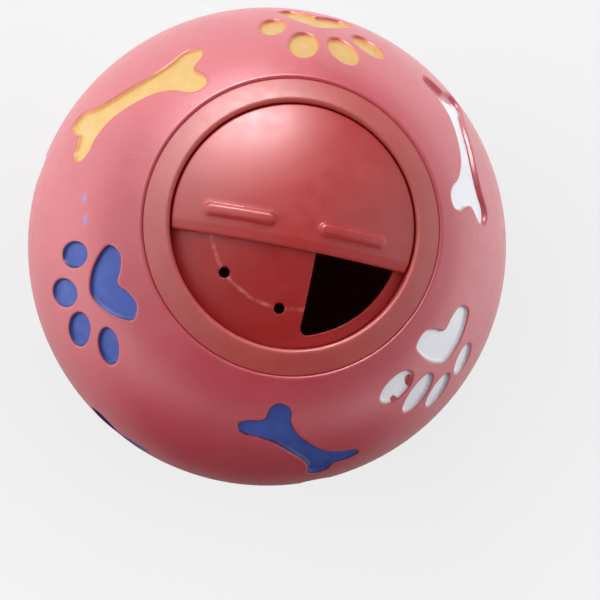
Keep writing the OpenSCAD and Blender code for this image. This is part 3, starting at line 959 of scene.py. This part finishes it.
def sweep_tree():
    """Carries a section round a circle."""
    tree, given, out = new_tree("turned_section", [
        ("Radius", "NodeSocketFloat"), ("Segments", "NodeSocketInt"), ("Material", "NodeSocketMaterial")])
    loop = tree.nodes.new("GeometryNodeMeshToCurve")
    path = tree.nodes.new("GeometryNodeCurvePrimitiveCircle")
    sweep = tree.nodes.new("GeometryNodeCurveToMesh")
    tree.links.new(given.outputs["Geometry"], loop.inputs["Mesh"])
    tree.links.new(given.outputs["Radius"], path.inputs["Radius"])
    tree.links.new(given.outputs["Segments"], path.inputs["Resolution"])
    tree.links.new(path.outputs["Curve"], sweep.inputs["Curve"])
    tree.links.new(loop.outputs["Curve"], sweep.inputs["Profile Curve"])
    finish_tree(tree, sweep.outputs["Mesh"], given, out)
    return tree


def array_tree():
    """Sets copies of a piece round the axis, evenly spaced from a first angle."""
    tree, given, out = new_tree("copies_round_axis", [
        ("Count", "NodeSocketInt"), ("First angle", "NodeSocketFloat"), ("Material", "NodeSocketMaterial")])
    points = tree.nodes.new("GeometryNodePoints")
    index = tree.nodes.new("GeometryNodeInputIndex")
    part = tree.nodes.new("ShaderNodeMath")
    part.operation = "DIVIDE"
    turn = tree.nodes.new("ShaderNodeMath")
    turn.operation = "MULTIPLY_ADD"
    turn.inputs[1].default_value = 2 * math.pi
    spin = tree.nodes.new("ShaderNodeCombineXYZ")
    copies = tree.nodes.new("GeometryNodeInstanceOnPoints")
    tree.links.new(given.outputs["Count"], points.inputs["Count"])
    tree.links.new(index.outputs[0], part.inputs[0])
    tree.links.new(given.outputs["Count"], part.inputs[1])
    tree.links.new(part.outputs[0], turn.inputs[0])
    tree.links.new(given.outputs["First angle"], turn.inputs[2])
    tree.links.new(turn.outputs[0], spin.inputs["Z"])
    tree.links.new(points.outputs[0], copies.inputs["Points"])
    tree.links.new(given.outputs["Geometry"], copies.inputs["Instance"])
    tree.links.new(spin.outputs[0], copies.inputs["Rotation"])
    finish_tree(tree, copies.outputs[0], given, out)
    return tree


# %% Meshes from the trees


def through_tree(tree, points, edges, faces, **settings):
    """What a tree makes of a mesh, as points in millimetres and faces."""
    mesh = bpy.data.meshes.new("tree_input")
    mesh.from_pydata((np.asarray(points) * MM).tolist(), edges, faces)
    carrier = bpy.data.objects.new("tree_input", mesh)
    bpy.context.scene.collection.objects.link(carrier)
    modifier = carrier.modifiers.new("tree", "NODES")
    modifier.node_group = tree
    for item in tree.interface.items_tree:
        if item.in_out == "INPUT" and item.name in settings:
            modifier[item.identifier] = settings[item.name]
    evaluated = carrier.evaluated_get(bpy.context.evaluated_depsgraph_get())
    result = bpy.data.meshes.new_from_object(evaluated)
    made = np.array([v.co for v in result.vertices]) / MM
    made_faces = [list(p.vertices) for p in result.polygons]
    bpy.data.objects.remove(carrier)
    bpy.data.meshes.remove(mesh)
    bpy.data.meshes.remove(result)
    return made, made_faces


SWEEP = sweep_tree()
ARRAY = array_tree()
print("trees:", SWEEP.name, "and", ARRAY.name)

# %% Turned solids


def rounded(corners, steps=5):
    """A closed section from corners, each with its own rounding radius: distance, height, radius."""
    points = []
    for i, (x, y, radius) in enumerate(corners):
        here = np.array([x, y])
        before = np.array(corners[i - 1][:2]) - here
        after = np.array(corners[(i + 1) % len(corners)][:2]) - here
        before_l, after_l = np.linalg.norm(before), np.linalg.norm(after)
        before, after = before / before_l, after / after_l
        half = math.acos(np.clip(before @ after, -1, 1)) / 2
        cut = min(radius / math.tan(half), 0.45 * before_l, 0.45 * after_l) if radius else 0
        if cut < 0.01:
            points.append(here)
            continue
        radius = cut * math.tan(half)
        middle = here + (before + after) / np.linalg.norm(before + after) * radius / math.sin(half)
        start, end = here + before * cut - middle, here + after * cut - middle
        sweep = math.atan2(start[0] * end[1] - start[1] * end[0], start @ end)
        for k in range(steps + 1):
            points.append(middle + turned([start], math.degrees(sweep * k / steps))[0])
    return np.array(points)


def turned_solid(corners, segments, material):
    """A section of distance from the axis and height, swept round the axis."""
    section = rounded(corners)
    radius = float(section[:, 0].mean())
    flat = np.column_stack([section[:, 0] - radius, -section[:, 1], np.zeros(len(section))])
    edges = [(i, (i + 1) % len(flat)) for i in range(len(flat))]
    return through_tree(SWEEP, flat, edges, [], Radius=radius * MM, Segments=segments,
                        Material=material)


# %% [markdown]
# ## The ring in the mouth
# The ring holds the dial and hides the ball's cut edge. Outside it follows the ball's roundness,
# with a soft fall to the dial. Behind, a hook catches the ball's lip, a ledge carries the plate
# and a groove takes the plate's snap lugs. It is one turned section, because a real ring is round
# all the way. How light runs round the dial is decided by the fall, so that has the largest
# rounding, and points of the face close to it keep the shading even.

# %% Ring
RING_SEGMENTS = 220
# Rounding of the fall to the dial, and of small, very small and outer edges
INNER_FALL = 1.9
EASE, EASE_SMALL, EASE_OUTER = 0.2, 0.1, 0.25
# The foot of the plate's lugs, and the groove that takes them: its radius, top and foot
LUG_Z = LEDGE_Z + 0.9
GROOVE_R, GROOVE_TOP, GROOVE_FOOT = DIAL_R + 1.2, LUG_Z + 1.4, LUG_Z - 0.2
# Where the points of the ring's face lie, as shares of its width
DOME_SHARES = (0.85, 0.72, 0.6, 0.5)


def on_ring(radius):
    """Height of the ring's face at a distance from the axis."""
    return float(dome_z(BEZEL_DOME, radius))


ring_section = [(DIAL_R, BARREL_Z, EASE_OUTER), (BARREL_R, BARREL_Z, 0.3)]
ring_section += [(HOOK_R, HOOK_Z, EASE_OUTER), (BARREL_R, HOOK_Z, EASE)]
ring_section += [(BARREL_R, SEAT_Z, EASE_SMALL), (BEZEL_R, SEAT_Z, EASE)]
ring_section += [(BEZEL_R, on_ring(BEZEL_R), EASE_OUTER)]
for share in DOME_SHARES:
    r = DIAL_R + (BEZEL_R - DIAL_R) * share
    ring_section.append((r, on_ring(r), 0))
ring_section += [(DIAL_R, on_ring(DIAL_R), INNER_FALL)]
ring_section += [(DIAL_R, GROOVE_TOP, 0), (GROOVE_R, GROOVE_TOP, EASE_SMALL)]
ring_section += [(GROOVE_R, GROOVE_FOOT, EASE_SMALL), (DIAL_R, GROOVE_FOOT, 0)]
ring_section += [(DIAL_R, LEDGE_Z, 0), (LEDGE_R, LEDGE_Z, EASE)]
ring_section += [(LEDGE_R, LEDGE_Z - LEDGE_T, EASE), (DIAL_R, LEDGE_Z - LEDGE_T, EASE)]
points, faces = turned_solid(ring_section, RING_SEGMENTS, ring_plastic)
ring = make_piece("mouth_ring", points, faces, ring_plastic, 35)
face_outwards(ring)
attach(ring, "ball")
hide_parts("bezel_ring")

# %% [markdown]
# ## Domed sheets
# The plate and the shutter are moulded domes of even thickness. A flat outline with holes is
# filled with points, denser beside its edges and its ribs, and a Delaunay triangulation joins
# them. The top is lifted to one sphere and the back to another, and the edge between is eased.
# Ribs, bevels and bumps are heights added to the top or the back, so they grow out of the sheet
# with a fillet, as a moulded rib does.

# %% Domed sheet
EDGE_STEP = 0.5
FLAT_STEP = 1.1
# Rings of points over the eased edge, as shares of it, and the flat border beyond the last one
EASE_SHARES = (0.1, 0.35, 0.7, 1)
FLAT_BORDER = 0.4


def domed_sheet(loops, top, back, ease, details):
    """A closed sheet over an outline with holes. Top and back give heights for flat points."""
    borders = [even_loop(loop, EDGE_STEP) for loop in loops]
    offsets = [-ease * share for share in EASE_SHARES] + [-ease - FLAT_BORDER]
    crowd = np.vstack(details)
    near = np.vstack([rings_about(loops, offsets, EDGE_STEP), crowd])
    near = near[signed_distance(near, loops) < -0.05]
    fill = hex_grid(borders[0].min(0), borders[0].max(0), FLAT_STEP)
    fill = fill[signed_distance(fill, loops) < -ease - FLAT_BORDER - FLAT_STEP / 2]
    far = [((crowd - point) ** 2).sum(1).min() > (0.45 * FLAT_STEP) ** 2 for point in fill]
    fill = fill[np.array(far)]
    flat = np.vstack(borders + [near, fill])
    runs, start = [], 0
    for border in borders:
        runs.append(list(range(start, start + len(border))))
        start += len(border)
    faces = triangles_over(flat, runs)
    faces = faces[signed_distance(flat[faces].mean(1), borders) < 0]
    inside = np.clip(-signed_distance(flat, loops), 0, ease)
    drop = ease - np.sqrt(np.maximum(ease ** 2 - (ease - inside) ** 2, 0))
    drop[:start] = ease
    count = len(flat)
    points = np.vstack([np.column_stack([flat, top(flat) - drop]), np.column_stack([flat, back(flat)])])
    all_faces = faces.tolist() + (faces[:, ::-1] + count).tolist()
    for run in runs:
        all_faces += strip(run[0], run[0] + count, len(run)).tolist()
    return points, all_faces


def sphere_height(dome):
    """The height of a plain dome, as a function of flat points."""
    return lambda flat: dome_z(dome, np.linalg.norm(flat, axis=1))


# How much shorter a block is on its outer side than at its root, at the top and at the foot
BLOCK_DRAFT = 0.1


def sector_block(r_in, r_out, z_low, z_high, middle, width, steps):
    """A closed block of a ring, between two heights and over an angle in degrees."""
    a = np.radians(middle + np.linspace(-width / 2, width / 2, steps + 1))
    corners = [(r_in, z_low), (r_out, z_low + BLOCK_DRAFT), (r_out, z_high - BLOCK_DRAFT), (r_in, z_high)]
    points = np.array([[r * math.cos(t), r * math.sin(t), z] for t in a for r, z in corners])
    faces = [[0, 1, 2, 3], [4 * steps + 3, 4 * steps + 2, 4 * steps + 1, 4 * steps]]
    for i in range(steps):
        for k in range(4):
            m = (k + 1) % 4
            faces.append([4 * i + k, 4 * i + m, 4 * i + 4 + m, 4 * i + 4 + k])
    return points, faces


# %% [markdown]
# ## The dial plate
# The plate is fixed in the ring. Half of it is the window that the filling leaves by, and five
# small holes are the detents that the shutter's bump clicks into. Under it are the hub that
# carries the shutter's stem, a skirt that stands on the ring's ledge, and four lugs that snap
# into the ring's groove. The sheet comes from the outline, the skirt and the hub are turned, and
# one lug is copied round. They are joined in one mesh, because the real plate is one moulding.

# %% The plate's outline, holes and dome
# The half round pocket that the stop lug turns in is this much longer at both ends, in degrees
POCKET_SPARE = 14

holes = [turned(disc_part(WINDOW_R, WINDOW_X, WINDOW_CORNER), -90), circle(STEM_HOLE_R, step=0.6)]
for azimuth in DETENT_ANGLES:
    t = math.radians(azimuth)
    holes.append(circle(DETENT_HOLE_R, (DETENT_R * math.cos(t), DETENT_R * math.sin(t)), 0.35))


def plate_top(flat):
    """The plate's dome, with the half round pocket that the shutter's stop lug turns in."""
    reach = np.linalg.norm(flat, axis=1)
    angle = np.degrees(np.arctan2(flat[:, 1], flat[:, 0]))
    pocket = (reach < STOP_R) & ((angle > -POCKET_SPARE) | (angle < POCKET_SPARE - 180))
    return np.where(pocket, STOP_Z, dome_z(PLATE_DOME, reach))


pocket_rings = [circle(r, step=0.35) for r in (3.75, STOP_R - 0.05, STOP_R + 0.05)]
sheet = domed_sheet([circle(PLATE_R)] + holes, plate_top, sphere_height(PLATE_UNDER), 0.22, pocket_rings)
print("plate:", len(sheet[0]), "points,", len(holes), "holes")

# %% Dial plate
SKIRT_SEGMENTS, HUB_SEGMENTS, LUG_STEPS = 200, 64, 8
# The skirt's top, a little under the dome at the plate's rim, and how much lower it is outside
SKIRT_Z = float(dome_z(PLATE_DOME - 0.5, PLATE_R))
SKIRT_FALL = 0.6
# The hub starts this high, inside the sheet, and the lugs start this far out, inside the skirt
HUB_ROOT_Z = PLATE_UNDER + 0.4
LUG_ROOT_R = PLATE_R - 0.9

skirt_section = [(SKIRT_R, LEDGE_Z, EASE), (PLATE_R, LEDGE_Z, EASE)]
skirt_section += [(PLATE_R, SKIRT_Z - SKIRT_FALL, EASE), (SKIRT_R, SKIRT_Z, EASE)]
skirt = turned_solid(skirt_section, SKIRT_SEGMENTS, plate_plastic)
hub_section = [(STEM_HOLE_R, HUB_Z, 0.15), (HUB_R, HUB_Z, 0.3)]
hub_section += [(HUB_R, HUB_ROOT_Z, 0), (STEM_HOLE_R, HUB_ROOT_Z, 0)]
hub = turned_solid(hub_section, HUB_SEGMENTS, plate_plastic)
lug = sector_block(LUG_ROOT_R, PLATE_R + LUG_W, LUG_Z, LUG_Z + LUG_H, 0, LUG_ANGLE, LUG_STEPS)
lugs = through_tree(ARRAY, lug[0], [], lug[1], Count=LUG_COUNT, Material=plate_plastic,
                    **{"First angle": math.pi / LUG_COUNT})
points, faces, values = joined([sheet, skirt, hub, lugs])
plate = make_piece("window_plate", points, faces, plate_plastic, 38)
face_outwards(plate)
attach(plate, "ball")
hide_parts("dial_plate")

# %% [markdown]
# ## The shutter
# The shutter is a half disc with a little more than half the dial's area. Two ribs beside its
# straight edge are the finger grips. Its edge has a soft bevel. Under it are the bump that clicks
# into the plate's detent holes, the stem that turns in the hub, and the lug that stops it. Ribs,
# bevel and bump are heights of the sheet, because a boolean would leave a hard line at their
# foot. The stem is turned. The mesh rides on the shutter's body, so it turns with the joint.

# %% Ribs, bevel and bump


def rib_loop(side):
    """A rib's rounded end outline."""
    r = RIB_W / 2
    ends = []
    for x, start in ((RIB_X + RIB_L - r, -90), (RIB_X + r, 90)):
        a = np.radians(start + np.linspace(0, 180, 14))
        ends.append(np.column_stack([x + r * np.cos(a), r * np.sin(a)]))
    return (np.vstack(ends) - (0, RIB_Y)) * (side, 1)


# One rib on each side of the middle
RIBS = [rib_loop(1), rib_loop(-1)]
# The rib's section: distance outside its outline, and share of its height there
RIB_SECTION = [(-1.3, 1.0), (-0.85, 0.99), (-0.6, 0.96), (-0.4, 0.88), (-0.24, 0.74), (-0.1, 0.50),
               (0.0, 0.26), (0.1, 0.11), (0.22, 0.03), (0.38, 0.0)]
# Width and fall of the bevel along the straight edge, and of the fall at the round edge
BEVEL, BEVEL_FALL = 2.1, 0.5
RIM_SLOPE, RIM_FALL = 0.35, 0.35
# The bump is the cap of a small ball, whose middle is this far above the underside
BUMP_AT = np.array([-DETENT_R, 0])
BUMP_R, BUMP_SUNK = 1.0, 0.7


def shutter_top(flat):
    """The shutter's dome with its ribs, and its edges bevelled."""
    reach = np.linalg.norm(flat, axis=1)
    height = dome_z(SHUTTER_DOME, reach)
    rise = dome_z(SHUTTER_DOME + RIB_H, reach) - height
    at, share = np.array(RIB_SECTION).T
    for rib in RIBS:
        height = height + rise * np.interp(signed_distance(flat, [rib]), at, share)
    bevel = np.clip((BEVEL - (flat[:, 1] + SHUTTER_Y)) / BEVEL, 0, 1)
    slope = np.clip((RIM_SLOPE - (SHUTTER_R - reach)) / RIM_SLOPE, 0, 1)
    return height - BEVEL_FALL * bevel - RIM_FALL * slope ** 2


def shutter_back(flat):
    """The shutter's underside with the bump on it."""
    height = dome_z(SHUTTER_UNDER, np.linalg.norm(flat, axis=1))
    off = np.linalg.norm(flat - BUMP_AT, axis=1)
    return height - np.clip(np.sqrt(np.maximum(BUMP_R ** 2 - off ** 2, 0)) - BUMP_SUNK, 0, None)


# %% Shutter
# Rows of points along the bevel, by their distance from the straight edge, and half their length
BEVEL_ROWS = (0.35, 0.60, 0.85, 1.10, 1.40, 1.75, 2.05, 2.2)
BEVEL_HALF = 24.6
# The stem and the stop lug start this high, inside the sheet
ROOT_Z = SHUTTER_UNDER + 0.6

details = [rings_about([rib], [at for at, share in RIB_SECTION[1:]], RING_STEP) for rib in RIBS]
for row in BEVEL_ROWS:
    x = np.arange(-BEVEL_HALF, BEVEL_HALF + 0.1, EDGE_STEP)
    details.append(np.column_stack([x, np.full(len(x), row - SHUTTER_Y)]))
details += [circle(r, BUMP_AT, 0.3) for r in (0.25, 0.5, 0.68, 0.76)]
details += [circle(SHUTTER_R - inset, step=EDGE_STEP) for inset in (0.36, 0.46)]
sheet = domed_sheet([disc_part(SHUTTER_R, -SHUTTER_Y, 0.5)], shutter_top, shutter_back, 0.28, details)
print("shutter:", len(sheet[0]), "points,", len(RIBS), "ribs")

stem_section = [(PILOT_R, STEM_Z, EASE_SMALL), (STEM_R, STEM_Z, 0.3)]
stem_section += [(STEM_R, ROOT_Z, 0), (PILOT_R, ROOT_Z, 0)]
stem = turned_solid(stem_section, HUB_SEGMENTS, shutter_plastic)
stop = sector_block(STEM_R - 0.1, STEM_R + STOP_W, STOP_Z + 0.25, ROOT_Z, 90, 20, 6)
points, faces, values = joined([sheet, stem, stop])
cover = make_piece("turning_shutter", points, faces, shutter_plastic, 38)
face_outwards(cover)
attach(cover, "shutter")
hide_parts("shutter")

# %% [markdown]
# ## The hidden hardware
# A screw and two washers hold the shutter's stem from inside. They are small and hidden, so they
# keep their CAD shapes and only get the plated steel.

# %% Steel pieces
STEEL_PIECES = ("pivot_screw", "pivot_washer", "spring_washer")
for name in STEEL_PIECES:
    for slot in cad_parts[name].material_slots:
        slot.material = steel
print("steel pieces:", len(STEEL_PIECES))

# %% [markdown]
# ## Lamp and room
# The ball was shot on a white table under large soft lights. One soft lamp stands at the photo's
# top, and the room is a few soft panels. Each panel is a lobe of light about a direction, worked
# out by the world's nodes. A lobe has a share of its own that reflections see, so the sides can
# light the ball without greying its front, and the top can shine on it without burning it out.

# %% Soft lamp
LAMP_PLACE = (-0.224, 0.697, 0.424)
LAMP_SIZE = 0.36
LAMP_POWER = 0.60

lamp_data = bpy.data.lights.new("key_softbox", "AREA")
lamp_data.shape = "DISK"
lamp_data.size = LAMP_SIZE
lamp_data.energy = LAMP_POWER
lamp = bpy.data.objects.new("key_softbox", lamp_data)
lamp.location = LAMP_PLACE
lamp.rotation_euler = Vector(LAMP_PLACE).to_track_quat("Z", "Y").to_euler()
bpy.context.scene.collection.objects.link(lamp)
print("lamp at", LAMP_PLACE, "of", LAMP_POWER, "W")

# %% Room of soft panels
# Each panel's direction, tightness, strength, and how much of it is seen mirrored
PANELS = [
    ((0, 0, 1), 0.0, 0.11, 0.2),
    ((-0.14, 0.60, 0.79), 6.0, 0.3, 0.10),
    ((-0.92, 0.01, 0.36), 3.0, 3.1, 0.06),
    ((0.88, 0.27, 0.36), 4.0, 2.5, 0.08),
    ((-0.50, 0.72, 0.48), 10.0, 0.30, 13.0),
    ((-0.264, 0.824, 0.50), 40.0, 0.8, 11.0),
]
ROOM_COLOUR = (0.95, 0.97, 1.0, 1)
world = bpy.data.worlds.new("pale_room")
bpy.context.scene.world = world
world.use_nodes = True


def room_node(kind, operation, *inputs):
    """A math node of the room's tree: its inputs are numbers, vectors or other nodes' outputs."""
    made = world.node_tree.nodes.new(kind)
    made.operation = operation
    for socket, value in zip(made.inputs, inputs):
        if hasattr(value, "links"):
            world.node_tree.links.new(value, socket)
        else:
            socket.default_value = value
    return made.outputs["Value"]


def panel_level(look, mirrored, total, panel):
    """The light so far with one panel's added, for a direction of looking."""
    direction, tightness, strength, mirrored_share = panel
    aim = Vector(direction).normalized()
    facing = room_node("ShaderNodeVectorMath", "DOT_PRODUCT", look, aim)
    facing = room_node("ShaderNodeMath", "MAXIMUM", facing, 0.0)
    falloff = room_node("ShaderNodeMath", "POWER", facing, tightness)
    extra = strength * (mirrored_share - 1)
    level = room_node("ShaderNodeMath", "MULTIPLY_ADD", mirrored, extra, strength)
    return room_node("ShaderNodeMath", "MULTIPLY_ADD", falloff, level, total)


look = world.node_tree.nodes.new("ShaderNodeTexCoord").outputs["Generated"]
mirrored = world.node_tree.nodes.new("ShaderNodeLightPath").outputs["Is Glossy Ray"]
total = 0.0
for panel in PANELS:
    total = panel_level(look, mirrored, total, panel)
background = world.node_tree.nodes["Background"]
world.node_tree.links.new(total, background.inputs["Strength"])
background.inputs["Color"].default_value = ROOM_COLOUR
print("room panels:", len(PANELS))

# %% [markdown]
# ## The white floor
# The table is white and almost without shadow. A floor lit to that level would also light the
# ball from below, so the camera and the reflections see a white glow on it instead, and a share
# of the lit floor stays for the shadow. In front of the ball the real one mirrors something dark.
# A dark patch of floor does that here, which the camera itself doesn't see.

# %% Floor
FLOOR_HALF = 1.6
FLOOR_Z = -BALL_R * MM
FLOOR_GREY = (0.74, 0.74, 0.74)
FLOOR_GLOW = (0.95, 0.955, 0.96, 1)
# The share of the glow that the camera sees, and how much brighter it is in the ball
CAMERA_SHARE = 0.72
MIRRORED_EXTRA = 0.4
# The dark patch: its middle and half size in millimetres, its strength and colour
PATCH_PLACE = (30, -365, -55)
PATCH_HALF = (300, 410, 60)
PATCH_STRENGTH = 1.3
PATCH_COLOUR = (0.06, 0.04, 0.03)


def floor_finish():
    """White paper that glows for the camera and for reflections, with the dark patch on it."""
    f = Finish("floor_paper")
    seen = f.node("ShaderNodeLightPath").outputs
    patch = f.math("MULTIPLY", f.smudge(PATCH_PLACE, PATCH_HALF), PATCH_STRENGTH)
    dark = f.math("MINIMUM", patch, 1.0)
    dark = f.math("MULTIPLY", dark, f.math("SUBTRACT", 1.0, seen["Is Camera Ray"]))
    f.feed(Base_Color=f.mix(dark, FLOOR_GREY, PATCH_COLOUR), Roughness=0.9)
    strength = f.math("ADD", 1.0, f.math("MULTIPLY", seen["Is Glossy Ray"], MIRRORED_EXTRA))
    glow = f.node("ShaderNodeEmission", {"Color": FLOOR_GLOW, "Strength": strength})
    mirrored = f.math("MAXIMUM", seen["Is Glossy Ray"], seen["Is Transmission Ray"])
    mirrored = f.math("MULTIPLY", mirrored, f.math("SUBTRACT", 1.0, dark))
    share = f.math("MULTIPLY", seen["Is Camera Ray"], CAMERA_SHARE)
    share = f.math("MAXIMUM", share, mirrored)
    blend = f.node("ShaderNodeMixShader", {0: share, 1: f.shader.outputs[0], 2: glow.outputs[0]})
    f.tree.links.new(blend.outputs[0], f.tree.nodes["Material Output"].inputs[0])
    return f.material


corners = [(x * FLOOR_HALF, y * FLOOR_HALF, FLOOR_Z) for x, y in ((-1, -1), (1, -1), (1, 1), (-1, 1))]
floor_mesh = bpy.data.meshes.new("pale_floor")
floor_mesh.from_pydata(corners, [], [(0, 1, 2, 3)])
floor_mesh.materials.append(floor_finish())
floor = bpy.data.objects.new("pale_floor", floor_mesh)
bpy.context.scene.collection.objects.link(floor)
print("floor at", round(FLOOR_Z, 4), "m")

bpy.context.scene.view_settings.view_transform = "Standard"
